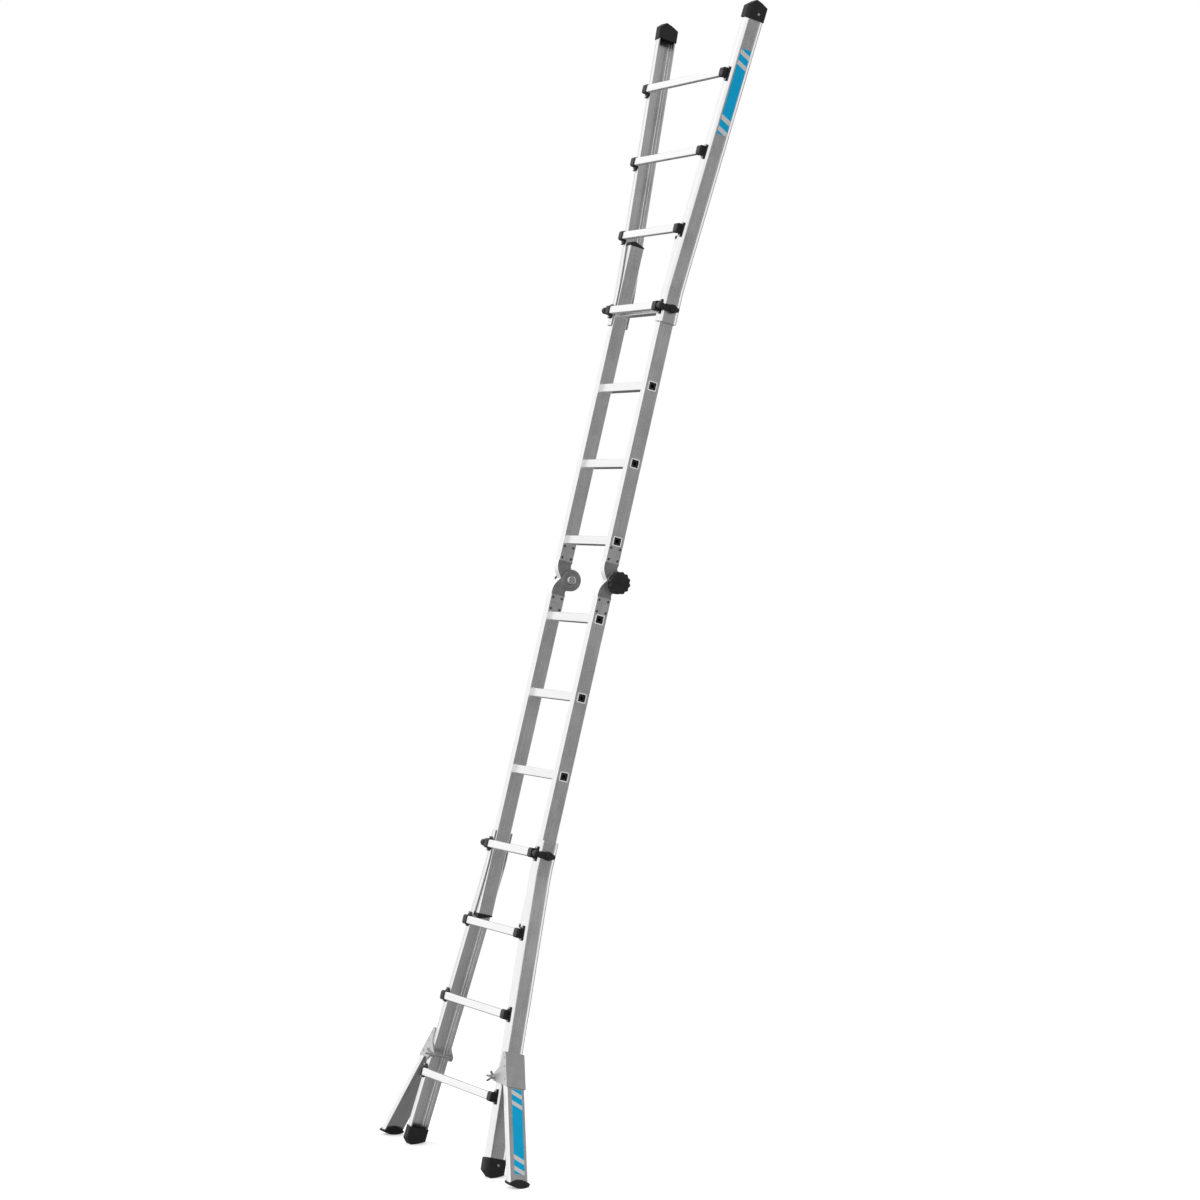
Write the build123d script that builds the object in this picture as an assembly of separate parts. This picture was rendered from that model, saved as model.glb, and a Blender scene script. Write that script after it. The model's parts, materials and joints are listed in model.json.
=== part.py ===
from build123d import *
import os
from math import atan, cos, degrees, radians, sin, tan

os.makedirs("parts", exist_ok=True)

# Hinged telescopic ladder, four rungs by four, straight and fully extended, with two stabilisers.
# The ladder is drawn in its own frame: X across, Y depth (rear positive), Z along the rails, with
# the hinge at Z = 0. save() then leans it back and stands its feet on the floor, at Z = 0.
# Each piece is drawn for the right side of the upper half, and mirrored for the left and lower ones.

# ---- Driving dimensions, mm ----
LEAN = 14.3                     # degrees back from upright
PITCH = 280.0                   # rung spacing
FLOOR_DROP = 2018.0             # hinge line above the floor, with no depth offset
STAND_Y = 2.1                   # brings the middle of the ladder's footprint to Y = 0

INNER_OUT = 197.5               # half width over the inner rails
INNER_WIDE = 30.0               # inner rail, across
INNER_DEEP = 56.5               # inner rail, front to rear
INNER_WALL = 1.8
INNER_START = 62.0              # rail end beside the hinge
INNER_END = 1228.0
INNER_RUNGS = [PITCH * (0.5 + i) for i in range(4)]
RUNG_SIDE = 30.0                # square inner rung
RUNG_WALL = 1.6
RIM = 34.0                      # rung's spread rim outside the rail

WEB_OUT = 205.0                 # half width over the outer rails, where they are parallel
OUTER_WIDE = 36.0
OUTER_DEEP = 70.0
OUTER_WALL = 2.5
STRIP_WIDE = 19.0               # sunk strip along the front flange's inner edge
STRIP_DEPTH = 1.0
RECESS = (-18.0, 21.0)          # sunk middle of the web, front to rear
RECESS_DEPTH = 0.8
BEAD_START = 24.0               # web's rear part slants inwards from here to a small lip
LIP_START = 31.5
LIP_DROP = 2.4
OUTER_START = 929.0
BEND_AT = 1045.0                # where the outer rails start to spread
BEND_RADIUS = 260.0
FLARE = degrees(atan(0.1427))   # spread of each outer rail
OUTER_END = 2050.0
OUTER_RUNGS = [PITCH * (3.5 + i) for i in range(4)]
RUNG_FRONT = 46.0               # outer rungs' axis, in front of the rails' middle
RUNG_DEEP = 18.0
RUNG_TALL = 28.0
RUNG_CORNER = 5.0
COLLAR_WALL = 3.0
FOOT_THICK = 4.0                # rung bracket's foot on the rail
FOOT_REACH = 32.0               # its outer edge, from the channel's inner edge
CAP_START = 2018.0
CAP_WALL = 3.3
TOE = (-14.0, -42.0)            # sole's front bevel: depth of its start, and its slope in degrees
HEEL = (8.0, 24.0)              # sole's rear bevel, likewise

HINGE_BACK = 36.0               # hinge axis, behind the rails' middle
DISC_R = 39.0
DISC_PROUD = 2.5                # disc beyond the rail's face
ARM_SPLIT = 182.5               # where the discs of the lower and the upper arm meet
ARM_TIP = 123.0
PIN_R = 7.0
LOCK_PIN_R = 4.0
LOCK_PIN_Y = (HINGE_BACK - 23, HINGE_BACK + 23)
KNOB_LOBES = 12
KNOB_TRAVEL = 5.0
KNOB_FLOOR = 4.0                # thickness under the knob's pocket
KNOB_IN = INNER_OUT + DISC_PROUD + 1.0
KNOB_OUT = KNOB_IN + 22.0
PIN_HEAD = KNOB_IN + 14.5       # inner face of the pin's head, in the knob

LATCH_Z = OUTER_RUNGS[0]
LATCH_R = 5.0                   # lock bolt through the web
LATCH_TIP = INNER_OUT + 2.3
HANDLE_IN = WEB_OUT + 1.2
HANDLE_OUT = WEB_OUT + 12.0
HANDLE_TRAVEL = 15.0
BOSS_R = 14.0
ROD_R = 4.0                     # guide rod inside the first outer rung
ROD_END = 150.0

PLATE = 3.0                     # stabiliser bracket sheet
SPLAY = degrees(atan(0.61))     # stabiliser leg, out from the ladder's length
SPLAY_X = 300.0                 # bracket's upper outer corner
SPLAY_Z = 1660.0
BRACKET_LONG = 129.0
LEG_WIDE = 28.0
LEG_DEEP = 70.4
LEG_WALL = 2.0
FOOT_LIP = 6.5                  # foot beyond the leg's sides
BOLT_X = 258.0                  # clamp bolt, past the rail's open side
BOLT_Z = 1754.0
BOLT_R = 4.0
BOLT_PROUD = 30.0               # in front of the bracket
BOLT_HEAD_R = 9.0
EAR_R = 14.0
NUT_DEEP = 12.0
WING_THICK = 5.2
WING_TURN = 23.0                # degrees from the ladder's length, as the nut was left

SOLE_R = 70.0                   # stabiliser's foot, rounded above and below
SOLE_THICK = 27.0
SOLE_TILT = 7.0                 # degrees from square to the ladder, towards the floor's level

FIT = 0.1                       # clearance of a rivet or insert in its hole
GAP = 0.4                       # clearance between pieces that move
RIVET_R = 2.5
BRACKET_HEAD_R = 3.8            # heads of the rivets in the rung brackets
HINGE_HEAD_R = 4.3
SHEET_HEAD_R = 4.2
CAP_HEAD_R = 5.0
THROUGH = 45.0                  # half length of a drilling through the whole depth


# ---- Helpers ----
def box(x0, x1, y0, y1, z0, z1):
    return Pos((x0 + x1) / 2, (y0 + y1) / 2, (z0 + z1) / 2) * Box(x1 - x0, y1 - y0, z1 - z0)


def rod_x(x0, x1, y, z, r):
    """Round bar along X."""
    return Pos((x0 + x1) / 2, y, z) * Rot(0, 90, 0) * Cylinder(r, abs(x1 - x0))


def rod_y(y0, y1, x, z, r):
    """Round bar along Y."""
    return Pos(x, (y0 + y1) / 2, z) * Rot(90, 0, 0) * Cylinder(r, abs(y1 - y0))


def side_plane(x, y=0.0, z=0.0):
    """Plane seen from the right: its own X is the depth and its Y runs along the ladder."""
    return Plane(origin=(x, y, z), x_dir=(0, 1, 0), z_dir=(1, 0, 0))


def web_x(z):
    """Half width over the outer rails' webs at a distance z from the hinge."""
    return WEB_OUT + max(0.0, z - BEND_AT) * tan(radians(FLARE))


def flare_plane(z):
    """Plane across the spread outer rail at z: origin on the web, X outwards, normal along the rail."""
    a = radians(FLARE)
    return Plane(origin=(web_x(z), 0, z), x_dir=(cos(a), 0, -sin(a)), z_dir=(sin(a), 0, cos(a)))


def leg_plane(along):
    """Plane across the stabiliser leg: origin on the bracket's outer face, X outwards."""
    a = radians(SPLAY)
    origin = (SPLAY_X + along * sin(a), 0, SPLAY_Z + along * cos(a))
    return Plane(origin=origin, x_dir=(cos(a), 0, -sin(a)), z_dir=(sin(a), 0, cos(a)))


def corner(sketch, sx, sy):
    """The vertex of a sketch that lies furthest towards (sx, sy)."""
    return max(sketch.vertices(), key=lambda v: sx * v.X + sy * v.Y)


def rectangle(x0, x1, y0, y1):
    return Pos((x0 + x1) / 2, (y0 + y1) / 2) * Rectangle(x1 - x0, y1 - y0)


def eased(x0, x1, y0, y1, radii):
    """Rectangle with its own radius at each corner, given as {(sx, sy): radius}."""
    sketch = rectangle(x0, x1, y0, y1)
    for (sx, sy), r in radii.items():
        sketch = fillet(corner(sketch, sx * (x1 - x0), sy * (y1 - y0)), r)
    return sketch


def left(shape):
    return shape.mirror(Plane.YZ)


def lower(shape):
    return shape.mirror(Plane.XY)


def same(shape):
    return shape


# ---- Inner ladder ----
INNER_MID = INNER_OUT - INNER_WIDE / 2
HINGE_RIVETS = [(y, z) for y in (-17.5, 17.5) for z in (73.0, 114.0)]


def insert_sketch():
    """Outline of a plug that fills an inner rail."""
    slack = 2 * (INNER_WALL + FIT)
    return RectangleRounded(INNER_WIDE - slack, INNER_DEEP - slack, 1.4)


def inner_rail():
    wall = 2 * INNER_WALL
    section = RectangleRounded(INNER_WIDE, INNER_DEEP, 3)
    section -= RectangleRounded(INNER_WIDE - wall, INNER_DEEP - wall, 1.3)
    rail = Pos(INNER_MID, 0, INNER_START) * extrude(section, INNER_END - INNER_START)
    hole = RUNG_SIDE + 2 * FIT
    for z in INNER_RUNGS:
        rail -= side_plane(INNER_MID, 0, z).location * extrude(RectangleRounded(hole, hole, 3), 30, both=True)
    for y, z in HINGE_RIVETS:
        rail -= rod_x(INNER_MID - 20, INNER_MID + 20, y, z, RIVET_R + FIT)
    return rail


def inner_rung(z):
    """Square tube through both rails, with a bead inside each rail and a spread rim outside."""
    half = INNER_OUT + 1.0
    rung = extrude(RectangleRounded(RUNG_SIDE, RUNG_SIDE, 2.8), half, both=True)
    for side in (1, -1):
        rung += Pos(0, 0, side * (half - 0.45)) * extrude(RectangleRounded(RIM, RIM, 4), 0.45, both=True)
        bead = extrude(RectangleRounded(RIM - 1, RIM - 1, 4), 1.2, both=True)
        rung += Pos(0, 0, side * (INNER_OUT - INNER_WIDE - 1.3)) * bead
    bore = RUNG_SIDE - 2 * RUNG_WALL
    rung -= extrude(RectangleRounded(bore, bore, 1.5), half + 5, both=True)
    return side_plane(0, 0, z).location * rung


def rung_bush(z):
    """Square plug in the rung's end, with the lock bolt's hole."""
    side = RUNG_SIDE - 2 * RUNG_WALL - 2 * FIT
    bush = extrude(RectangleRounded(side, side, 1.4), 14)
    bush -= Pos(0, 0, 12.5) * extrude(RectangleRounded(side - 7, side - 7, 2), 2)
    bush -= Pos(0, 0, 7) * Cylinder(6.5, 20)
    return side_plane(INNER_OUT - 13.4, 0, z).location * bush


def inner_end_cap():
    """Plug with a wedge-shaped head at the rail's far end."""
    half = INNER_DEEP / 2
    wedge = make_face(
        Polyline((-half, 0), (half, 0), (half, 5), (8, 12), (-14, 17.5), (-half, 12), close=True)
    )
    head = extrude(wedge, INNER_WIDE / 2 - 0.5, both=True)
    head = side_plane(INNER_MID, 0, INNER_END + FIT).location * head
    return head + Pos(INNER_MID, 0, INNER_END - 14) * extrude(insert_sketch(), 15)


# ---- Hinge ----
def neck_sketch():
    """Side view of an arm between the rail's end and its disc."""
    start = INNER_START - FIT
    front = Spline((-28.2, start), (-25.3, 33), (-5, GAP), tangents=((0, -1), (0.6, -0.8)))
    across = Line((-5, GAP), (30, GAP))
    up = Line((30, GAP), (32, 40))
    rear = Spline((32, 40), (24.2, 50), (28.2, start), tangents=((-1, 0), (0.7, 1)))
    end = Line((28.2, start), (-28.2, start))
    return make_face(Wire([front, across, up, rear, end]))


def hinge_arm(inside):
    """The disc of the lower arm is on the inner half of the hinge, and that of the upper arm outside."""
    x0, x1 = INNER_OUT - INNER_WIDE, INNER_OUT
    arm = side_plane(x0).location * extrude(neck_sketch(), INNER_WIDE)
    arm += Pos(INNER_MID, 0, INNER_START - 1) * extrude(insert_sketch(), ARM_TIP - INNER_START + 1)
    if inside:
        own, other = (x0 - DISC_PROUD, ARM_SPLIT - GAP / 2), (ARM_SPLIT - GAP / 2, x1 + 9)
    else:
        own, other = (ARM_SPLIT + GAP / 2, x1 + DISC_PROUD), (x0 - 9, ARM_SPLIT + GAP / 2)
    arm -= rod_x(*other, HINGE_BACK, 0, DISC_R + 1.0)
    arm += rod_x(*own, HINGE_BACK, 0, DISC_R)
    if inside:
        ring = rod_x(own[0] - 1.6, own[0] + 1, HINGE_BACK, 0, 33)
        arm += ring - rod_x(own[0] - 3, own[0] + 3, HINGE_BACK, 0, 29.5)
    else:
        for y in LOCK_PIN_Y:
            arm -= rod_x(x0, x1 + 9, y, 0, LOCK_PIN_R + GAP)
    arm -= rod_x(x0 - 9, x1 + 9, HINGE_BACK, 0, PIN_R + GAP)
    for y, z in HINGE_RIVETS:
        arm -= rod_x(x0 - 9, x1 + 9, y, z, RIVET_R + FIT)
    return arm


def hinge_rivet(y, z):
    x0, x1 = INNER_OUT - INNER_WIDE, INNER_OUT
    rivet = rod_x(x0 - 1.2, x1 + 1.2, y, z, RIVET_R)
    for face, out in ((x0 - FIT, -1.1), (x1 + FIT, 1.1)):
        rivet += rod_x(face, face + out, y, z, HINGE_HEAD_R)
    return rivet


def hinge_pin():
    """Pin with a domed head on the inner side and a retaining head inside the knob."""
    face = INNER_OUT - INNER_WIDE - DISC_PROUD
    dome = rod_x(face - 8, face - FIT, HINGE_BACK, 0, 17)
    dome = fillet(dome.faces().sort_by(Axis.X)[0].edges(), 5.5)
    pin = dome + rod_x(face - 4, PIN_HEAD + 1, HINGE_BACK, 0, PIN_R)
    return pin + rod_x(PIN_HEAD, PIN_HEAD + 2.5, HINGE_BACK, 0, 10)


def hinge_knob():
    """Scalloped grip that pulls out against its spring."""
    outline = Circle(36.5)
    outline += PolarLocations(32.8, KNOB_LOBES) * Circle(7.2)
    knob = extrude(outline, KNOB_OUT - KNOB_IN)
    knob = fillet(knob.faces().sort_by(Axis.Z)[-1].edges(), 2.5)
    knob -= Pos(0, 0, KNOB_OUT - KNOB_IN) * Cylinder(22, 2.4)
    knob -= Pos(0, 0, 2) * Cylinder(PIN_R + GAP, 5)
    knob -= Pos(0, 0, KNOB_FLOOR) * extrude(Circle(13), 14.5)
    knob = side_plane(KNOB_IN, HINGE_BACK, 0).location * knob
    for y in LOCK_PIN_Y:
        knob -= rod_x(KNOB_IN - 1, KNOB_IN + 8, y, 0, LOCK_PIN_R + FIT)
    return knob


def hinge_lock_pin(y):
    return rod_x(ARM_SPLIT + 1.2, KNOB_IN + 7.8, y, 0, LOCK_PIN_R)


def hinge_spring():
    """Spring between the knob's floor and the pin's head, as the sleeve that it fills."""
    sleeve = rod_x(KNOB_IN + KNOB_FLOOR + KNOB_TRAVEL + 0.3, PIN_HEAD - FIT, HINGE_BACK, 0, 12)
    return sleeve - rod_x(KNOB_IN, PIN_HEAD + 1, HINGE_BACK, 0, PIN_R + FIT)


# ---- Outer ladder ----
def outer_section():
    """Channel open inwards: round front corner, sunk web, slanted rear bead, small lips."""
    w, h, t = OUTER_WIDE, OUTER_DEEP / 2, OUTER_WALL
    section = eased(-w, 0, -h, h, {(1, -1): 14, (1, 1): 5})
    section -= eased(-w - 9, -t, -h + t, h - t, {(1, -1): 11.5, (1, 1): 2.5})
    section += rectangle(-w, -w + t, -h + t / 2, -h + t + 2.8)
    section += rectangle(-w, -w + t, h - t - 2.8, h - t / 2)
    section -= rectangle(-w - 1, -w + STRIP_WIDE, -h - 1, -h + STRIP_DEPTH)
    section -= rectangle(-RECESS_DEPTH, 1, *RECESS)
    slant = Polyline((1, BEAD_START), (0, BEAD_START), (-LIP_DROP, LIP_START), (-LIP_DROP, h + 1), (1, h + 1),
                     close=True)
    section -= make_face(slant)
    return section + rectangle(-t - 1.5, -LIP_DROP, BEAD_START, h - t)


def outer_outline(grow):
    """The channel's outside, for the cap that closes it."""
    w, h = OUTER_WIDE + grow, OUTER_DEEP / 2 + grow
    return eased(-w, grow, -h, h, {(1, -1): 14 + grow, (1, 1): 5 + grow})


def rail_inner_x(z):
    """The channel's inner edge at z."""
    return web_x(z) - OUTER_WIDE


def bracket_place(z):
    """Where a rung bracket sits on the rail's front flange, turned to follow the rail."""
    turn = FLARE if z > BEND_AT else 0.0
    return Pos(rail_inner_x(z), 0, z) * Rot(0, turn, 0)


BRACKET_RIVETS = [(23.6, z) for z in (-21.8, 21.8)]
FOOT_FRONT = OUTER_DEEP / 2 + FOOT_THICK
CAP_RIVET = (7.0, 22.0)         # depth, and distance along the rail from the cap's start


def outer_rail():
    a = radians(FLARE)
    ease = BEND_RADIUS * tan(a / 2)
    start = (WEB_OUT, 0, OUTER_START)
    bend_in = (WEB_OUT, 0, BEND_AT - ease)
    bend_out = (WEB_OUT + ease * sin(a), 0, BEND_AT + ease * cos(a))
    end = (web_x(OUTER_END), 0, OUTER_END)
    bend = TangentArc(bend_in, bend_out, tangent=(0, 0, 1))
    path = Wire([Line(start, bend_in), bend, Line(bend_out, end)])
    first = Plane(origin=start, x_dir=(1, 0, 0), z_dir=(0, 0, 1))
    rail = sweep(first * outer_section(), path=path)
    rail -= rod_x(WEB_OUT - 9, WEB_OUT + 9, 0, LATCH_Z, LATCH_R + GAP)
    for z in OUTER_RUNGS:
        for x, dz in BRACKET_RIVETS:
            rail -= bracket_place(z) * rod_y(-45, -28, x, dz, RIVET_R + FIT)
    return rail - cap_rivet_at(RIVET_R + FIT, -9, 9)


def cap_rivet_at(r, x0, x1):
    """Bar across the web at the cap's rivet, from x0 to x1 outside the web's face."""
    depth, along = CAP_RIVET
    return flare_plane(CAP_START).location * rod_x(x0, x1, depth, along, r)


def outer_rung(z):
    """Rounded tube with grips on its tread, from one bracket's end wall to the other's."""
    section = RectangleRounded(RUNG_DEEP, RUNG_TALL, RUNG_CORNER)
    section -= RectangleRounded(RUNG_DEEP - 4, RUNG_TALL - 4, RUNG_CORNER - 2)
    for y in (-3.9, -1.3, 1.3, 3.9):
        for z_face in (-RUNG_TALL / 2, RUNG_TALL / 2):
            section -= Pos(y, z_face) * Rectangle(1.2, 1.5)
    half = rail_inner_x(z) + 21 - FIT
    return side_plane(0, -RUNG_FRONT, z).location * extrude(section, half, both=True)


def rung_bracket(z):
    """Collar round the rung's end, on a foot that spreads over the rail's front flange."""
    seat = -OUTER_DEEP / 2 - 0.05
    x0 = rail_inner_x(z) - 2
    place = side_plane(x0, -RUNG_FRONT, z).location
    around = 2 * COLLAR_WALL
    collar = extrude(RectangleRounded(RUNG_DEEP + around, RUNG_TALL + around, RUNG_CORNER + COLLAR_WALL), 26)
    collar = fillet(collar.faces().sort_by(Axis.Z)[-1].edges(), 2)
    bracket = place * collar - box(0, 600, seat, 0, z - 30, z + 30)
    x1 = FOOT_REACH
    outline = Polyline((3, -14), (18, -26), (x1, -26), (x1, 26), (18, 26), (3, 14), close=True)
    foot = fillet(make_face(outline).vertices(), 2.5)
    step = foot & rectangle(0, STRIP_WIDE - 0.6, -30, 30)
    bracket += bracket_place(z) * Pos(0, seat, 0) * extrude(Plane.XZ * foot, FOOT_THICK - 0.05)
    bracket += bracket_place(z) * Pos(0, seat + STRIP_DEPTH, 0) * extrude(Plane.XZ * step, 2)
    bore = RectangleRounded(RUNG_DEEP + 2 * FIT, RUNG_TALL + 2 * FIT, RUNG_CORNER)
    bracket -= place * Pos(0, 0, -5) * extrude(bore, 28)
    for x, dz in BRACKET_RIVETS:
        bracket -= bracket_place(z) * rod_y(-60, -28, x, dz, RIVET_R + FIT)
    if z == OUTER_RUNGS[0]:
        bracket -= rod_x(x0, x0 + 40, -RUNG_FRONT, z, ROD_R + GAP)
    return bracket


def rung_rivets(z):
    place = bracket_place(z)
    shank_end = -OUTER_DEEP / 2 + OUTER_WALL
    rivets = []
    for x, dz in BRACKET_RIVETS:
        rivet = rod_y(-FOOT_FRONT - 1, shank_end, x, dz, RIVET_R)
        rivet += rod_y(-FOOT_FRONT - 1.7, -FOOT_FRONT - 0.05, x, dz, BRACKET_HEAD_R)
        rivets.append(place * rivet)
    return rivets


def guide_pads():
    """Sliding pads between the channel's flanges and the inner rail."""
    clear = INNER_DEEP / 2 + GAP
    seat = OUTER_DEEP / 2 - OUTER_WALL - 0.05
    x0, z0, z1 = WEB_OUT - OUTER_WIDE + 3, OUTER_START + 2, OUTER_START + 84
    return [box(x0, x0 + 18, -seat, -clear, z0, z1), box(x0, x0 + 26, clear, seat, z0, z1)]


def sole_plane(depth, slope):
    """Plane across the rail that meets the floor at a depth, facing the floor, at a slope in degrees."""
    z = (FLOOR_DROP - depth * sin(radians(LEAN))) / cos(radians(LEAN))
    return Plane(origin=(0, depth, z), z_dir=(0, sin(radians(slope)), cos(radians(slope))))


def rail_cap():
    """Cap over the rail's end. The middle of its sole lies on the floor when the ladder leans."""
    along = (OUTER_END - CAP_START) / cos(radians(FLARE))
    place = flare_plane(CAP_START).location
    outside = outer_outline(CAP_WALL)
    outside = fillet(outside.vertices().group_by(Axis.X)[0], 4)
    cap = extrude(outside, along + 50)
    cap -= extrude(outer_outline(FIT), along + FIT)
    cap = place * cap
    for bevel in ((0.0, LEAN), TOE, HEEL):
        cap = split(cap, bisect_by=sole_plane(*bevel), keep=Keep.BOTTOM)
    return cap - cap_rivet_at(RIVET_R + FIT, -9, 20)


def cap_rivet():
    head = cap_rivet_at(CAP_HEAD_R, CAP_WALL + 0.05, CAP_WALL + 1.8)
    return cap_rivet_at(RIVET_R, -OUTER_WALL, CAP_WALL + 1) + head


# ---- Lock handles, on the outer rungs nearest the hinge ----
def lock_handle():
    """Pull knob on the rung's axis, with a blade that carries the lock bolt to the rail's middle."""
    blade = rectangle(-RUNG_FRONT, 0, -8, 8) + rectangle(-24, 3, -12, 12)
    for y, r in ((-RUNG_FRONT, 9), (-24, 12.5), (2, 16), (20, 9)):
        blade += Pos(y, 0) * Circle(r)
    handle = extrude(blade, HANDLE_OUT - HANDLE_IN)
    handle = fillet(handle.faces().sort_by(Axis.Z)[-1].edges(), 2.5)
    handle = side_plane(HANDLE_IN, 0, LATCH_Z).location * handle
    boss = rod_x(HANDLE_OUT - 2, HANDLE_OUT + 5, 4, LATCH_Z, BOSS_R)
    knob = rod_x(WEB_OUT - 3, HANDLE_OUT + 7, -RUNG_FRONT, LATCH_Z, 12)
    for round_part, r in ((boss, 2.5), (knob, 4)):
        handle += fillet(round_part.faces().sort_by(Axis.X)[-1].edges(), r)
    handle += rod_x(rail_inner_x(LATCH_Z) + 25, WEB_OUT, -RUNG_FRONT, LATCH_Z, 6)
    handle -= rod_x(ROD_END, HANDLE_OUT, -RUNG_FRONT, LATCH_Z, ROD_R + FIT)
    return handle - rod_x(WEB_OUT, HANDLE_OUT, 0, LATCH_Z, LATCH_R + FIT)


def lock_bolts():
    """Lock bolt and guide rod, with the rod's stop inside the rung."""
    latch = rod_x(LATCH_TIP, HANDLE_OUT - FIT, 0, LATCH_Z, LATCH_R)
    latch = chamfer(latch.faces().sort_by(Axis.X)[0].edges(), 1)
    rod = rod_x(ROD_END, HANDLE_OUT - FIT, -RUNG_FRONT, LATCH_Z, ROD_R)
    return [latch, rod + rod_x(ROD_END, ROD_END + 3, -RUNG_FRONT, LATCH_Z, 6)]


def lock_spring():
    """Spring round the guide rod, as the sleeve that it fills when the handle is out."""
    x0, x1 = ROD_END + 3 + HANDLE_TRAVEL + 0.5, rail_inner_x(LATCH_Z) + 20.8
    return rod_x(x0, x1, -RUNG_FRONT, LATCH_Z, 6.4) - rod_x(x0 - 1, x1 + 1, -RUNG_FRONT, LATCH_Z, 4.5)


# ---- Stabilisers ----
PLATE_IN = OUTER_DEEP / 2 + GAP
PLATE_OUT = PLATE_IN + PLATE
STABILISER_RIVETS = [(18.0, 9.0), (48.0, 12.0), (96.0, 12.0)]
NUT_BACK = PLATE_OUT + GAP


def stabiliser_rivet_axis(along, inset):
    a = radians(SPLAY)
    return SPLAY_X + along * sin(a) - inset * cos(a), SPLAY_Z + along * cos(a) + inset * sin(a)


def stabiliser_bracket():
    """Sheet folded round the leg and the rail, with an ear on each plate for the clamp bolt."""
    a = radians(SPLAY)
    far = (SPLAY_X + BRACKET_LONG * sin(a), SPLAY_Z + BRACKET_LONG * cos(a))
    edge = [(BOLT_X - 12, BOLT_Z - 7), (SPLAY_X - 16, BOLT_Z - 42), (SPLAY_X - 16, SPLAY_Z)]
    outline = Polyline((SPLAY_X, SPLAY_Z), far, (BOLT_X, BOLT_Z + EAR_R), *edge, close=True)
    plate = make_face(outline) + Pos(BOLT_X, BOLT_Z) * Circle(EAR_R)
    for point in edge[1:]:
        nearest = plate.vertices().sort_by_distance((*point, 0))[0]
        plate = fillet(nearest, 8)
    bracket = Plane.XZ * extrude(plate, PLATE_OUT, both=True)
    bracket -= box(0, 600, -PLATE_IN, PLATE_IN, SPLAY_Z - 50, SPLAY_Z + 300)
    back = extrude(rectangle(-PLATE, 0, -PLATE_OUT, PLATE_OUT), BRACKET_LONG)
    bracket += leg_plane(0).location * back
    long_edges = bracket.edges().filter_by(lambda e: e.length > BRACKET_LONG - 1)
    outer = long_edges.sort_by(lambda e: e.center().X)[-2:]
    bracket = fillet(outer, 2.5)
    bracket -= rod_y(-THROUGH, THROUGH, BOLT_X, BOLT_Z, BOLT_R + FIT)
    for spot in STABILISER_RIVETS:
        bracket -= rod_y(-THROUGH, THROUGH, *stabiliser_rivet_axis(*spot), RIVET_R + FIT)
    return bracket


def leg_outline(grow):
    x1 = -PLATE - FIT
    sizes = (x1 - LEG_WIDE - grow, x1 + grow, -LEG_DEEP / 2 - grow, LEG_DEEP / 2 + grow)
    return eased(*sizes, {(i, j): 5 + grow for i in (-1, 1) for j in (-1, 1)})


def foot_middle():
    """Distance along the ladder of the foot's middle, with its rounded sole touching the floor."""
    lean, tilt = radians(LEAN), radians(SOLE_TILT)
    rise = SOLE_R - SOLE_THICK / 2
    centre = (FLOOR_DROP - SOLE_R + rise * sin(tilt) * sin(lean)) / cos(lean)
    return centre + rise * cos(tilt)


def foot_plane():
    """Plane of the leg's cut end, inside the foot, facing down the leg."""
    tilt = radians(SOLE_TILT)
    return Plane(origin=(0, 0, foot_middle()), x_dir=(1, 0, 0), z_dir=(0, sin(tilt), cos(tilt)))


def stabiliser_leg():
    """Tube with its upper end cut along the rail, and its lower end inside the foot."""
    leg = leg_plane(4).location * extrude(leg_outline(0) - leg_outline(-LEG_WALL), 500)
    leg = split(leg, bisect_by=foot_plane(), keep=Keep.BOTTOM)
    a = radians(FLARE)
    beside = Plane(origin=(web_x(SPLAY_Z) + 1.0, 0, SPLAY_Z), z_dir=(cos(a), 0, -sin(a)))
    leg = split(leg, bisect_by=beside, keep=Keep.TOP)
    for spot in STABILISER_RIVETS:
        leg -= rod_y(-THROUGH, THROUGH, *stabiliser_rivet_axis(*spot), RIVET_R + FIT)
    return leg


def stabiliser_rivets():
    rivets = []
    for spot in STABILISER_RIVETS:
        x, z = stabiliser_rivet_axis(*spot)
        for side in (1, -1):
            shank = rod_y(side * (LEG_DEEP / 2 - LEG_WALL - 1), side * (PLATE_OUT + 1), x, z, RIVET_R)
            head = rod_y(side * (PLATE_OUT + 0.05), side * (PLATE_OUT + 1.6), x, z, SHEET_HEAD_R)
            rivets.append(shank + head)
    return rivets


def stabiliser_foot():
    """Boot on the leg's end, rounded front to rear above and below, so that it rocks on the floor."""
    reach = SOLE_R - SOLE_THICK / 2
    boot = leg_plane(380).location * extrude(leg_outline(FOOT_LIP), 140)
    for side in (reach, -reach):
        boot &= foot_plane().location * Pos(550, 0, side) * Rot(0, 90, 0) * Cylinder(SOLE_R, 400)
    pocket = leg_plane(360).location * extrude(leg_outline(FIT), 200)
    end = foot_plane().offset(FIT)
    return boot - split(pocket, bisect_by=end, keep=Keep.BOTTOM)


def clamp_bolt():
    """Bolt through both plates, with a round head behind the rear one."""
    bolt = rod_y(-PLATE_OUT - BOLT_PROUD, PLATE_OUT + 1, BOLT_X, BOLT_Z, BOLT_R)
    bolt = chamfer(bolt.faces().sort_by(Axis.Y)[0].edges(), 1)
    head = rod_y(PLATE_OUT + 0.05, PLATE_OUT + 5, BOLT_X, BOLT_Z, BOLT_HEAD_R)
    return bolt + fillet(head.faces().sort_by(Axis.Y)[-1].edges(), 3)


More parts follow.
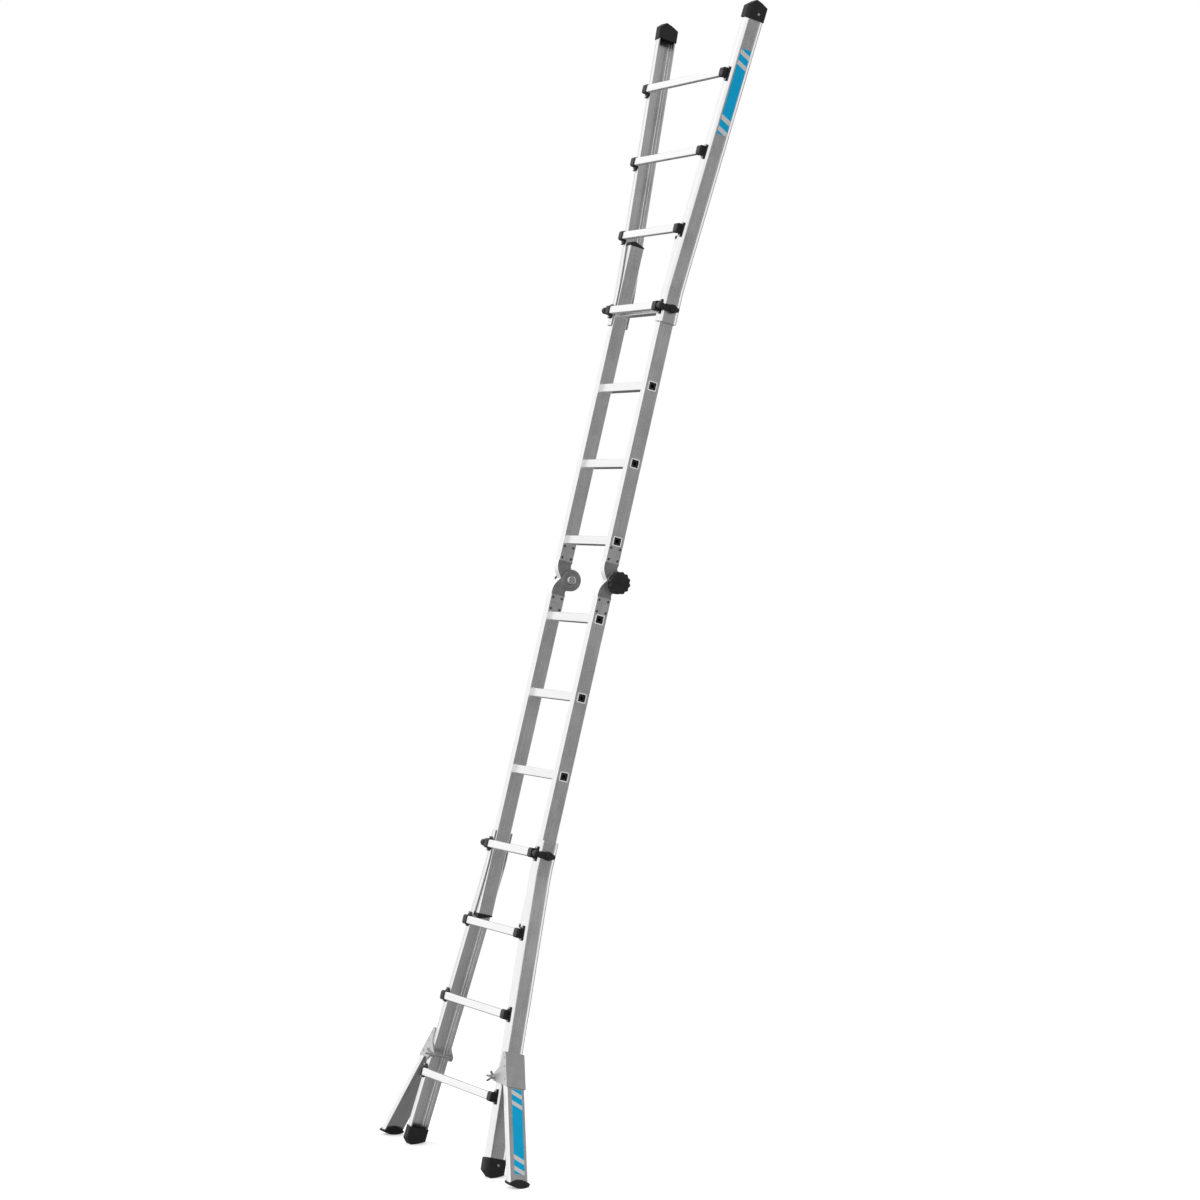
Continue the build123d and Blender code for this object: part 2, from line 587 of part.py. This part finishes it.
def wing_nut():
    """Hub that turns on the clamp bolt, and two wings that sweep forwards."""
    half = [(0, 0), (8, 0), (9, 5), (21, 15), (21, 21), (17, 23), (6, 13)]
    wings = make_face(Polyline(*half, *[(-r, h) for r, h in half[:0:-1]], close=True))
    blade = fillet(wings.vertices().filter_by(lambda v: abs(v.X) > 10), 1.8)
    nut = extrude(blade, WING_THICK / 2, both=True)
    nut = fillet(nut.edges().filter_by(Plane.XY), 1)
    nut = Rot(0, 0, 90 + WING_TURN) * Rot(90, 0, 0) * nut
    nut += Cone(8.5, 7, NUT_DEEP, align=(Align.CENTER, Align.CENTER, Align.MIN))
    nut -= Cylinder(BOLT_R + GAP, 3 * NUT_DEEP)
    return Pos(BOLT_X, -NUT_BACK, BOLT_Z) * Rot(90, 0, 0) * nut


# ---- Saving ----
def both(shape):
    return [shape, left(shape)]


def save(name, shapes):
    """Lean the shapes back, stand them on the floor, and save them as one piece's file."""
    placed = [Pos(0, STAND_Y, FLOOR_DROP) * Rot(-LEAN, 0, 0) * shape for shape in shapes]
    solids = [solid for shape in placed for solid in shape.solids()]
    export_step(solids[0] if len(solids) == 1 else Compound(children=solids), f"parts/{name}.step")


def save_sides(name, shapes, flip):
    """Save the right-hand shapes and their left-hand mirror images under two names."""
    save(f"{name}_right", [flip(shape) for shape in shapes])
    save(f"{name}_left", [left(flip(shape)) for shape in shapes])


def save_half(half, flip):
    """Save one half of the ladder. Each piece comes as it is drawn, or flipped to the lower half."""
    save_sides(f"{half}_inner_rail", [inner_rail()], flip)
    save_sides(f"{half}_hinge_arm", [hinge_arm(half == "lower")], flip)
    save_sides(f"{half}_outer_rail", [outer_rail()], flip)
    save_sides(f"{half}_lock_handle", [lock_handle()], flip)
    save_sides(f"{half}_lock_bolts", lock_bolts(), flip)
    shared = {
        "inner_rungs": [inner_rung(z) for z in INNER_RUNGS],
        "rung_bushes": [bush for z in INNER_RUNGS for bush in both(rung_bush(z))],
        "inner_end_caps": both(inner_end_cap()),
        "hinge_rivets": [rivet for spot in HINGE_RIVETS for rivet in both(hinge_rivet(*spot))],
        "outer_rungs": [outer_rung(z) for z in OUTER_RUNGS],
        "rung_brackets": [bracket for z in OUTER_RUNGS for bracket in both(rung_bracket(z))],
        "outer_rivets": [r for z in OUTER_RUNGS for rivet in rung_rivets(z) for r in both(rivet)],
        "guide_pads": [pad for shape in guide_pads() for pad in both(shape)],
        "lock_springs": both(lock_spring()),
        "rail_feet" if half == "lower" else "rail_caps": both(rail_cap()),
    }
    shared["outer_rivets"] += both(cap_rivet())
    for name, shapes in shared.items():
        save(f"{half}_{name}", [flip(shape) for shape in shapes])


save_half("upper", same)
save_half("lower", lower)
save("hinge_pins", both(hinge_pin()))
save("hinge_springs", both(hinge_spring()))
save_sides("hinge_knob", [hinge_knob()], same)
save_sides("hinge_lock_pins", [hinge_lock_pin(y) for y in LOCK_PIN_Y], same)
save_sides("stabiliser_bracket", [stabiliser_bracket()], lower)
save_sides("stabiliser_leg", [stabiliser_leg()], lower)
save_sides("stabiliser_foot", [stabiliser_foot()], lower)
save_sides("stabiliser_rivets", stabiliser_rivets(), lower)
save_sides("clamp_bolt", [clamp_bolt()], lower)
save_sides("wing_nut", [wing_nut()], lower)
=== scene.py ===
# Looks of the hinged telescopic ladder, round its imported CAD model. Lengths are metres in the row
# frame; "along" runs up the ladder's rails, "depth" from its front to its rear, "across" along +X.
import json
from math import atan, cos, radians, sin, tan

import bmesh
import bpy
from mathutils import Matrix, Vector


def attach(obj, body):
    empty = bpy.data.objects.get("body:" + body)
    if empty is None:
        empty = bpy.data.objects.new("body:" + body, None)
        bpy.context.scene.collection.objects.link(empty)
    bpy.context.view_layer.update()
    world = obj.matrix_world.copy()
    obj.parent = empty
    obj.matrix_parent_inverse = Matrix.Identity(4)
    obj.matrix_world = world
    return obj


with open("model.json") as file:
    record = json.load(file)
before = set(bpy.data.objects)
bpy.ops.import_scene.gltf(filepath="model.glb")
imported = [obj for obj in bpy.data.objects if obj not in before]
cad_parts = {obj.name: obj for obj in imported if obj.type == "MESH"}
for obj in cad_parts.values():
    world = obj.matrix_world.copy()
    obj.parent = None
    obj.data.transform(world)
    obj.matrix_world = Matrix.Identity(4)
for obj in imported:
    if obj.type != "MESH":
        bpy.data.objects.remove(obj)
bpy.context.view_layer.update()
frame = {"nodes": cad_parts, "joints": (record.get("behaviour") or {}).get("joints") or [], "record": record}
scene = bpy.context.scene
cad_nodes = frame["nodes"]
joints = {joint["name"]: joint for joint in frame["joints"]}


# ---- Camera: long lens, looking at the ladder from its right front, at the hinge's height ----
CAMERA_AT = (10.837, -5.4139, 2.3423)
CAMERA_TURN = 63.162            # degrees from the climber's view, which looks along +Y
CAMERA_TILT = -1.88
LENS = 102.87
SENSOR = 36
FAR_CLIP = 400

camera_data = bpy.data.cameras.new("camera")
camera = bpy.data.objects.new("camera", camera_data)
scene.collection.objects.link(camera)
scene.camera = camera
camera.location = CAMERA_AT
camera.rotation_euler = (radians(90 + CAMERA_TILT), 0, radians(CAMERA_TURN))
camera_data.lens = LENS
camera_data.sensor_width = SENSOR
camera_data.clip_end = FAR_CLIP


# ---- Ladder's own directions and widths. Along it, places are measured from the hinge. ----
ACROSS = Vector((1, 0, 0))
ALONG = Vector(joints["lower_telescope"]["axis"])
DEPTH = ALONG.cross(ACROSS)
HINGE_BACK = 0.036              # the fold's axis lies this far behind the rails' middle
MIDDLE = Vector(joints["fold"]["pos_m"]) - HINGE_BACK * DEPTH
FLARE = atan(0.1427)            # spread of each outer rail
SPLAY = atan(0.61)              # spread of each stabiliser leg
INNER_OUT = 0.1975              # half width over the inner rails
WEB_OUT = 0.205                 # half width over the outer rails, up to where they spread
BEND_AT = 1.045                 # where they spread
LEG_OUT = 0.300                 # half width over the stabiliser legs at LEG_AT
LEG_AT = -1.660
RAIL_INSIDE = 0.0334            # half depth of an outer rail's channel


def ladder_point(across, depth, along):
    return MIDDLE + across * ACROSS + depth * DEPTH + along * ALONG


def spread(angle):
    """Direction up a rail that leans outwards to the right by an angle, as seen by the climber."""
    return cos(angle) * ALONG + sin(angle) * ACROSS


def web_out(along):
    """Half width over the outer rails."""
    return WEB_OUT + max(0.0, abs(along) - BEND_AT) * tan(FLARE)


def leg_out(along):
    """Half width over the stabiliser legs."""
    return LEG_OUT + (LEG_AT - along) * tan(SPLAY)


# ---- Node building ----
class NodeTree:
    """A node tree, with short calls for the nodes that the materials and the world share."""

    def __init__(self, tree):
        self.tree = tree

    def node(self, kind, **settings):
        made = self.tree.nodes.new(kind)
        for key, value in settings.items():
            setattr(made, key, value)
        return made

    def link(self, source, target):
        self.tree.links.new(source, target)

    def coordinate(self, kind):
        return self.node("ShaderNodeTexCoord").outputs[kind]

    def math(self, operation, a, b=0):
        made = self.node("ShaderNodeMath", operation=operation)
        for socket, value in zip(made.inputs, (a, b)):
            if isinstance(value, (int, float)):
                socket.default_value = value
            else:
                self.link(value, socket)
        return made.outputs[0]

    def vector_math(self, operation, source, value):
        made = self.node("ShaderNodeVectorMath", operation=operation)
        self.link(source, made.inputs[0])
        made.inputs[1].default_value = value
        return made.outputs

    def part_x(self, source):
        made = self.node("ShaderNodeSeparateXYZ")
        self.link(source, made.inputs["Vector"])
        return made.outputs["X"]

    def ramp(self, value, low, high, out_low=0, out_high=1, step="LINEAR"):
        """From out_low to out_high, as the value goes from low to high."""
        made = self.node("ShaderNodeMapRange", interpolation_type=step)
        for key, number in (("From Min", low), ("From Max", high),
                            ("To Min", out_low), ("To Max", out_high)):
            made.inputs[key].default_value = number
        self.link(value, made.inputs["Value"])
        return made.outputs["Result"]


class Shader(NodeTree):
    """A material on the Principled shader."""

    def __init__(self, name, **values):
        self.material = bpy.data.materials.new(name)
        self.material.use_nodes = True
        super().__init__(self.material.node_tree)
        self.bsdf = self.tree.nodes["Principled BSDF"]
        for key, value in values.items():
            self.bsdf.inputs[key.replace("_", " ")].default_value = value

    def colour(self, socket):
        self.link(socket, self.bsdf.inputs["Base Color"])

    def rough(self, socket):
        self.link(socket, self.bsdf.inputs["Roughness"])

    def relief(self, height, deep, strength):
        """Fine unevenness of the surface, deep in metres."""
        made = self.node("ShaderNodeBump")
        made.inputs["Distance"].default_value = deep
        made.inputs["Strength"].default_value = strength
        self.link(height, made.inputs["Height"])
        self.link(made.outputs["Normal"], self.bsdf.inputs["Normal"])

    def grain_space(self, along, across_size, along_size):
        """Object coordinates, turned so that Z runs along, and divided by the grain's size."""
        turn = self.node("ShaderNodeMapping", vector_type="TEXTURE")
        to_along = Vector((0, 0, 1)).rotation_difference(along)
        turn.inputs["Rotation"].default_value = to_along.to_euler()
        turn.inputs["Scale"].default_value = (across_size, across_size, along_size)
        self.link(self.coordinate("Object"), turn.inputs["Vector"])
        return turn.outputs["Vector"]

    def noise(self, scale=1.0, detail=2.0, roughness=0.5, space=None):
        if space is None:
            space = self.coordinate("Object")
        made = self.node("ShaderNodeTexNoise")
        for key, value in (("Scale", scale), ("Detail", detail), ("Roughness", roughness)):
            made.inputs[key].default_value = value
        self.link(space, made.inputs["Vector"])
        return made.outputs["Fac"]

    def mix(self, factor, a, b):
        """Colour a where the factor is 0, and b where it is 1."""
        made = self.node("ShaderNodeMix", data_type="RGBA")
        self.link(factor, made.inputs["Factor"])
        for name, colour in (("A", a), ("B", b)):
            socket = next(s for s in made.inputs if s.name == name and s.type == "RGBA")
            if isinstance(colour, tuple):
                socket.default_value = (*colour, 1)
            else:
                self.link(colour, socket)
        return next(s for s in made.outputs if s.type == "RGBA")

    def beyond(self, across):
        """1 where the surface is further than this from the ladder's middle plane, else 0."""
        from_plane = self.math("ABSOLUTE", self.part_x(self.coordinate("Object")))
        return self.math("GREATER_THAN", from_plane, across)

    def facing(self, direction):
        """Cosine of the angle between the surface's normal and a direction."""
        return self.vector_math("DOT_PRODUCT", self.coordinate("Normal"), direction)["Value"]

    def channel_faces_in_shade(self):
        """1 on the faces of an outer rail's channel that look inwards, where shade is painted, else 0."""
        place = self.coordinate("Object")
        side = self.math("SIGN", self.part_x(place))
        outward = self.math("MULTIPLY", self.part_x(self.coordinate("Normal")), side)
        from_middle = self.vector_math("SUBTRACT", place, MIDDLE)["Vector"]
        depth = self.vector_math("DOT_PRODUCT", from_middle, DEPTH)["Value"]
        within = self.math("LESS_THAN", self.math("ABSOLUTE", depth), RAIL_INSIDE)
        return self.math("MULTIPLY", within, self.math("LESS_THAN", outward, FACES_OUT))


def grey(value, warm=0.0):
    return (value * (1 + warm), value, value * (1 - warm))


# ---- Materials. Grain and line sizes are metres; a noise scale is how many fit in a metre. ----
DIE_LINE = (0.0007, 0.16)       # width and length of the fine lines that the die draws
DIE_BAND = (0.006, 0.9)         # and of its wide bands
ROLLED_GRAIN = (0.0011, 0.03)
FINE_SHARE = 0.6                # of the fine lines in the streaks, the rest being the bands
RIM_HIGHLIGHT_TONE = 0.93                 # painted highlight on the rolled rims of the inner rungs
RIM_DULLNESS = 0.4
CHANNEL_SHADE_TONE = 0.56              # painted shade of the inside of the outer rails
FACES_OUT = 0.1                 # a rail's face looks outwards if its normal does by this much
FRONT_HIGHLIGHT_FACING = (-0.75, -0.45)     # how far a hinge arm's normal looks to the rear, from full painted highlight to none
# The part of a noise's range that is stretched to the whole. Most noise lies in the widest.
WIDE = (0.3, 0.7)
CLOUDY = (0.35, 0.7)
NARROW = (0.35, 0.65)
WORN_PLACES = (0.5, 0.75)
SMUDGES = (0.55, 0.8)
DULL_PLACES = (0.7, 1.3)        # of the sum of two noises
SMUDGE_STRENGTH = 0.35


def extruded_aluminium(name, along, value=0.80, dullness=0.27, rim_from=None, channel_shade_tone=None):
    """Mill-finish extrusion: die lines along its length, faint handling marks, fine scratches.
    Further out than rim_from on either side, where a rim was rolled, it is duller and painted paler, a
    painted highlight.
    The inside of an outer rail is painted darker to the given tone as painted shade, and keeps the die's
    drawn lines."""
    shader = Shader(name, Metallic=1.0)
    fine = shader.noise(space=shader.grain_space(along, *DIE_LINE), detail=3)
    wide = shader.noise(space=shader.grain_space(along, *DIE_BAND), detail=1)
    smudge = shader.noise(scale=9, detail=4, roughness=0.6)
    streak = shader.math("ADD", shader.math("MULTIPLY", fine, FINE_SHARE),
                         shader.math("MULTIPLY", wide, 1 - FINE_SHARE))
    tone = shader.mix(shader.ramp(streak, *WIDE), grey(value * 0.93), grey(value * 1.04))
    marks = shader.ramp(smudge, *SMUDGES, 0, SMUDGE_STRENGTH)
    worn = shader.mix(marks, tone, grey(value * 0.86, warm=0.01))
    dull = shader.ramp(shader.math("ADD", fine, smudge), *DULL_PLACES,
                       dullness - 0.05, dullness + 0.07)
    if rim_from is not None:
        # The rolled rims are painted paler, a painted highlight, and made duller.
        rim = shader.beyond(rim_from)
        worn = shader.mix(rim, worn, grey(RIM_HIGHLIGHT_TONE))
        dull = shader.math("ADD", dull, shader.math("MULTIPLY", rim, RIM_DULLNESS))
    # Painted shade: the inward faces inside the outer rails' channels are darkened, keeping the die's
    # streaks.
    if channel_shade_tone is not None:
        drawn_lines_in_shade = shader.mix(shader.ramp(streak, *NARROW), grey(channel_shade_tone * 0.82), grey(channel_shade_tone * 1.1))
        worn = shader.mix(shader.channel_faces_in_shade(), worn, drawn_lines_in_shade)
    shader.colour(worn)
    shader.rough(dull)
    shader.relief(fine, deep=0.00004, strength=0.6)
    return shader.material


def forged_aluminium():
    """Hinge arm: fine blasted skin with soft clouds, and a painted highlight on the faces that look to the
    front.
    """
    shader = Shader("forged_aluminium", Metallic=1.0)
    skin = shader.noise(scale=2600)
    cloud = shader.noise(scale=60, detail=3)
    blasted = shader.mix(shader.ramp(cloud, *CLOUDY), grey(0.29), grey(0.36))
    # Painted highlight: faces that look to the front, towards the light, are painted near white.
    painted_front_highlight = shader.ramp(shader.facing(DEPTH), *FRONT_HIGHLIGHT_FACING, 1, 0)
    shader.colour(shader.mix(painted_front_highlight, blasted, grey(0.84)))
    shader.rough(shader.ramp(skin, *WIDE, 0.32, 0.46))
    shader.relief(skin, deep=0.00005, strength=0.5)
    return shader.material


def rolled_sheet():
    """Sheet of the stabiliser brackets, with a short grain along the leg."""
    shader = Shader("rolled_sheet", Metallic=1.0)
    grain = shader.noise(space=shader.grain_space(spread(SPLAY), *ROLLED_GRAIN), detail=3)
    cloud = shader.noise(scale=26, detail=4)
    shader.colour(shader.mix(shader.ramp(cloud, *CLOUDY), grey(0.50), grey(0.58)))
    shader.rough(shader.ramp(grain, *WIDE, 0.40, 0.50))
    shader.relief(grain, deep=0.00004, strength=0.5)
    return shader.material


def moulded_plastic(name, value, dullness, grain_size, grain_deep):
    """Black moulding with a fine spark-eroded grain and dusty, lighter rubbed places."""
    shader = Shader(name, Specular_IOR_Level=0.35)
    grain = shader.noise(scale=1 / grain_size)
    rubbed = shader.noise(scale=45, detail=5, roughness=0.65)
    dusty = grey(value * 2.0, warm=0.03)
    shader.colour(shader.mix(shader.ramp(rubbed, *WORN_PLACES), grey(value), dusty))
    shader.rough(shader.ramp(rubbed, *CLOUDY, dullness - 0.06, dullness + 0.1))
    shader.relief(grain, deep=grain_deep, strength=0.6)
    return shader.material


def steel(name, value, dullness):
    """Plated, blackened or bare steel: soft clouds, and fine turning marks."""
    shader = Shader(name, Metallic=1.0)
    cloud = shader.noise(scale=170, detail=4)
    fine = shader.noise(scale=1900)
    dark = grey(value * 0.85, warm=0.015)
    shader.colour(shader.mix(shader.ramp(cloud, *NARROW), dark, grey(value)))
    shader.rough(shader.ramp(cloud, *WIDE, dullness - 0.05, dullness + 0.08))
    shader.relief(fine, deep=0.00003, strength=0.5)
    return shader.material


STICKER_LONG = 0.308
STICKER_WIDE = 0.0395
STRIPE_SLANT = 0.42             # rise of a stripe for each metre of the sticker's width
STRIPES = ((0.013, 0.029), (0.053, 0.070), (0.252, 0.267), (0.290, 0.306))
STRIPE_COLOUR = (0.66, 0.64, 0.62)
FILM_BLUES = ((0.000, 0.385, 0.69), (0.000, 0.415, 0.74))


def printed_film():
    """Blue film with two pairs of slanted pale stripes, from the sticker's own UV lengths."""
    shader = Shader("printed_film", Specular_IOR_Level=0.18)
    place = shader.node("ShaderNodeSeparateXYZ")
    shader.link(shader.node("ShaderNodeUVMap", uv_map="film").outputs["UV"], place.inputs["Vector"])
    slant = shader.math("MULTIPLY", place.outputs["Y"], STRIPE_SLANT)
    slanted = shader.math("ADD", place.outputs["X"], slant)
    pale = 0
    for low, high in STRIPES:
        stripe = shader.math("MULTIPLY", shader.math("GREATER_THAN", slanted, low),
                             shader.math("LESS_THAN", slanted, high))
        pale = shader.math("ADD", stripe, pale)
    faded = shader.noise(scale=40, detail=3)
    blue = shader.mix(shader.ramp(faded, *WIDE), *FILM_BLUES)
    shader.colour(shader.mix(pale, blue, STRIPE_COLOUR))
    shader.rough(shader.ramp(shader.noise(scale=700), *WIDE, 0.34, 0.44))
    return shader.material


def outer_rail(name, along):
    return extruded_aluminium(name, along, channel_shade_tone=CHANNEL_SHADE_TONE)


UPPER_RIGHT = spread(FLARE)     # also the direction of the lower left outer rail
UPPER_LEFT = spread(-FLARE)     # also that of the lower right one
by_name = {
    "inner_rail": extruded_aluminium("rail_extrusion", ALONG),
    "upper_outer_rail_right": outer_rail("rail_extrusion_ur", UPPER_RIGHT),
    "upper_outer_rail_left": outer_rail("rail_extrusion_ul", UPPER_LEFT),
    "lower_outer_rail_right": outer_rail("rail_extrusion_lr", UPPER_LEFT),
    "lower_outer_rail_left": outer_rail("rail_extrusion_ll", UPPER_RIGHT),
    "inner_rungs": extruded_aluminium("inner_rung_extrusion", ACROSS, rim_from=INNER_OUT),
    "outer_rungs": extruded_aluminium("rung_extrusion", ACROSS, value=0.84),
    "stabiliser_leg_right": extruded_aluminium("leg_extrusion_r", spread(-SPLAY)),
    "stabiliser_leg_left": extruded_aluminium("leg_extrusion_l", spread(SPLAY)),
    "hinge_arm": forged_aluminium(),
    "stabiliser_bracket": rolled_sheet(),
}
by_slot = {
    "black_plastic": moulded_plastic("moulded_black", value=0.012, dullness=0.42,
                                     grain_size=0.0007, grain_deep=0.00005),
    "rubber": moulded_plastic("rubber_black", value=0.010, dullness=0.62,
                              grain_size=0.0011, grain_deep=0.00008),
    "zinc_steel": steel("zinc_plate", value=0.60, dullness=0.30),
    "spring_steel": steel("spring_wire", value=0.32, dullness=0.34),
}
rivet_material = steel("blackened_steel", value=0.10, dullness=0.40)
rib_material = extruded_aluminium("guide_rib_extrusion", ALONG, value=0.96, dullness=0.42)
film_material = printed_film()
slot_of = {part["node"]: part["material_slot"] for part in frame["record"]["subparts"]}


def material_of(name):
    """The hinge's rivets are dark. The rest goes by its slot, and aluminium by its name."""
    if "hinge_rivets" in name:
        return rivet_material
    if slot_of[name] in by_slot:
        return by_slot[slot_of[name]]
    return next(material for key, material in by_name.items() if key in name)


for name, piece in cad_nodes.items():
    piece.data.materials.clear()
    piece.data.materials.append(material_of(name))


# ---- Pieces that Blender adds, placed by rays that meet the CAD nodes ----
def new_piece(name, verts, faces, material):
    mesh = bpy.data.meshes.new(name)
    mesh.from_pydata(verts, [], faces)
    mesh.materials.append(material)
    piece = bpy.data.objects.new(name, mesh)
    scene.collection.objects.link(piece)
    return piece


def first_hit(node, start, towards):
    """Where a ray first meets a CAD node, and the surface's normal there."""
    found, point, normal, _ = cad_nodes[node].ray_cast(start, towards)
    if not found:
        raise RuntimeError(f"the ray misses {node}")
    return point, normal


# ---- Stickers: thin film laid on the CAD's own surface ----
FILM_GAP = 0.00012              # the film lies this far off the surface
FILM_THICK = 0.00008
FILM_STEPS = (60, 8)            # along the sticker and over its width
FILM_RAY = 0.05                 # its rays start this far outside


def sticker(name, node, start, up, body):
    """Film on the outer side of a rail or leg, from its lower front corner up along it."""
    outward = DEPTH.cross(up)
    if outward.x < 0:
        outward = -outward
    steps_u, steps_v = FILM_STEPS
    points, lengths = [], []
    for i in range(steps_u + 1):
        for j in range(steps_v + 1):
            u, v = STICKER_LONG * i / steps_u, STICKER_WIDE * j / steps_v
            over = start + u * up + v * DEPTH + FILM_RAY * outward
            point, normal = first_hit(node, over, -outward)
            points.append(point + FILM_GAP * normal)
            lengths.append((u, v))
    row = steps_v + 1
    faces = [(i * row + j, i * row + j + 1, (i + 1) * row + j + 1, (i + 1) * row + j)
             for i in range(steps_u) for j in range(steps_v)]
    piece = new_piece(name, points, faces, film_material)
    film = piece.data.uv_layers.new(name="film")
    for loop in piece.data.loops:
        film.data[loop.index].uv = lengths[loop.vertex_index]
    thick = piece.modifiers.new("thickness", "SOLIDIFY")
    thick.thickness = FILM_THICK
    thick.offset = 1
    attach(piece, body)


# ---- Guide ribs: low, round, inside each outer rail, on its web and on its rear flange ----
WEB_RIB = 0.0265                # depth of the web's rib
FLANGE_RIB = 0.012              # the flange's rib, in from the web's outer face
WEB_RAY_FROM = 0.18             # rays to the web start at this place across, in the channel's mouth
RIB_HALF = 0.0018
RIB_TALL = 0.0012
RIB_ROOT = 0.0001               # the rib's foot lies this far inside the rail's wall
RIB_REACH = (0.9305, 2.0165)    # from the rail's mouth to the far end's cap
RIB_STEPS = 40
RIB_ARC = 6                     # sides of the rib's round top


def rib(name, node, half, start_at, towards, sideways):
    """A rib on the wall that rays meet. start_at gives the rays' start for a place along."""
    low, high = RIB_REACH
    verts, faces = [], []
    row = RIB_ARC + 1
    for i in range(RIB_STEPS + 1):
        along = half * (low + (high - low) * i / RIB_STEPS)
        for k in range(row):
            turn = radians(180 * k / RIB_ARC)
            foot, _ = first_hit(node, start_at(along) - RIB_HALF * cos(turn) * sideways, towards)
            verts.append(foot - (RIB_TALL * sin(turn) - RIB_ROOT) * towards)
    for i in range(RIB_STEPS):
        for k in range(row):
            a, b = i * row + k, i * row + (k + 1) % row
            faces.append((a, b, b + row, a + row))
    faces.append(tuple(range(row)))
    faces.append(tuple(RIB_STEPS * row + k for k in reversed(range(row))))
    piece = new_piece(name, verts, faces, rib_material)
    outwards = bmesh.new()
    outwards.from_mesh(piece.data)
    bmesh.ops.recalc_face_normals(outwards, faces=outwards.faces)
    outwards.to_mesh(piece.data)
    outwards.free()
    return piece


def guide_ribs(half_name, side_name):
    node = f"{half_name}_outer_rail_{side_name}"
    half = 1 if half_name == "upper" else -1
    side = 1 if side_name == "right" else -1

    def on_web(along):
        return ladder_point(side * WEB_RAY_FROM, WEB_RIB, along)

    def on_flange(along):
        return ladder_point(side * (web_out(along) - FLANGE_RIB), 0, along)

    for place, start_at, towards, sideways in (("web", on_web, side * ACROSS, DEPTH),
                                               ("flange", on_flange, DEPTH, ACROSS)):
        piece = rib(f"{node}_{place}_rib", node, half, start_at, towards, sideways)
        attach(piece, f"{half_name}_outer")


# ---- Floor and light ----
FLOOR_RADIUS = 3.0
FLOOR_SIDES = 72
FLOOR_COLOUR = (0.80, 0.81, 0.83, 1)
FLOOR_GLOW = 0.40
WHITE = (1, 1, 1, 1)
SKY = 1.12                      # strength of the white studio
GROUND = 0.16                   # share of it that is left below
GROUND_FROM = (-0.60, -0.24)    # height of a direction, from full ground to full sky
# Dark flags round the ladder: direction, outer and inner half angles, and the light left on each
FLAGS = (
    ((0.90, 0.43, -0.03), 26, 14, 0.22),    # right rear, for the outer sides of the rails
    ((0.45, 0.45, 0.77), 36, 20, 0.26),     # high at the right rear
    ((-0.85, 0.36, -0.38), 42, 22, 0.13),   # low at the left, for the rungs' undersides
)
KEY_STRENGTH = 0.5
KEY_SPREAD = 30
KEY_SHINES = (0.60, 0.62, -0.75)


def floor():
    turns = [radians(360 * i / FLOOR_SIDES) for i in range(FLOOR_SIDES)]
    corners = [(FLOOR_RADIUS * cos(turn), FLOOR_RADIUS * sin(turn), 0) for turn in turns]
    shader = Shader("pale_floor", Base_Color=FLOOR_COLOUR, Roughness=0.9, Specular_IOR_Level=0.1,
                    Emission_Color=WHITE, Emission_Strength=FLOOR_GLOW)
    made = new_piece("floor", corners, [range(FLOOR_SIDES)], shader.material)
    made.visible_glossy = False
    made.visible_diffuse = False


def studio():
    """White studio, dimmer below, with dark flags. The camera itself sees plain white."""
    scene.world = bpy.data.worlds.new("studio")
    scene.world.use_nodes = True
    world = NodeTree(scene.world.node_tree)
    world.tree.nodes.clear()

    def towards(direction, low, high, out_low, out_high):
        """Smooth step of the cosine of the angle from a direction."""
        unit = Vector(direction).normalized()
        cosine = world.vector_math("DOT_PRODUCT", world.coordinate("Generated"), unit)["Value"]
        return world.ramp(cosine, low, high, out_low, out_high, step="SMOOTHSTEP")

    light = towards((0, 0, 1), *GROUND_FROM, SKY * GROUND, SKY)
    for direction, outer, inner, left_on in FLAGS:
        open_part = towards(direction, cos(radians(outer)), cos(radians(inner)), 1, 0)
        shade = world.math("MULTIPLY", world.math("SUBTRACT", 1, open_part), left_on)
        light = world.math("ADD", world.math("MULTIPLY", light, open_part), shade)
    seen = world.node("ShaderNodeLightPath").outputs["Is Camera Ray"]
    unseen = world.math("MULTIPLY", light, world.math("SUBTRACT", 1, seen))
    background = world.node("ShaderNodeBackground")
    background.inputs["Color"].default_value = WHITE
    world.link(world.math("ADD", unseen, seen), background.inputs["Strength"])
    output = world.node("ShaderNodeOutputWorld")
    world.link(background.outputs["Background"], output.inputs["Surface"])


def key_light():
    sun = bpy.data.lights.new("key", "SUN")
    sun.energy = KEY_STRENGTH
    sun.angle = radians(KEY_SPREAD)
    made = bpy.data.objects.new("key", sun)
    made.rotation_euler = Vector(KEY_SHINES).to_track_quat("-Z", "Y").to_euler()
    scene.collection.objects.link(made)


for half_name in ("upper", "lower"):
    for side_name in ("right", "left"):
        guide_ribs(half_name, side_name)

RAIL_STICKER_AT = 1.607         # lower end of the rail's sticker
LEG_STICKER_AT = -2.037         # lower end of the leg's sticker
STICKER_FRONT = -0.0175         # depth of their front edges
sticker("rail_sticker", "upper_outer_rail_right",
        ladder_point(web_out(RAIL_STICKER_AT), STICKER_FRONT, RAIL_STICKER_AT),
        UPPER_RIGHT, "upper_outer")
sticker("leg_sticker", "stabiliser_leg_right",
        ladder_point(leg_out(LEG_STICKER_AT), STICKER_FRONT, LEG_STICKER_AT),
        spread(-SPLAY), "stabiliser_right")

scene.view_settings.view_transform = "Standard"
floor()
studio()
key_light()
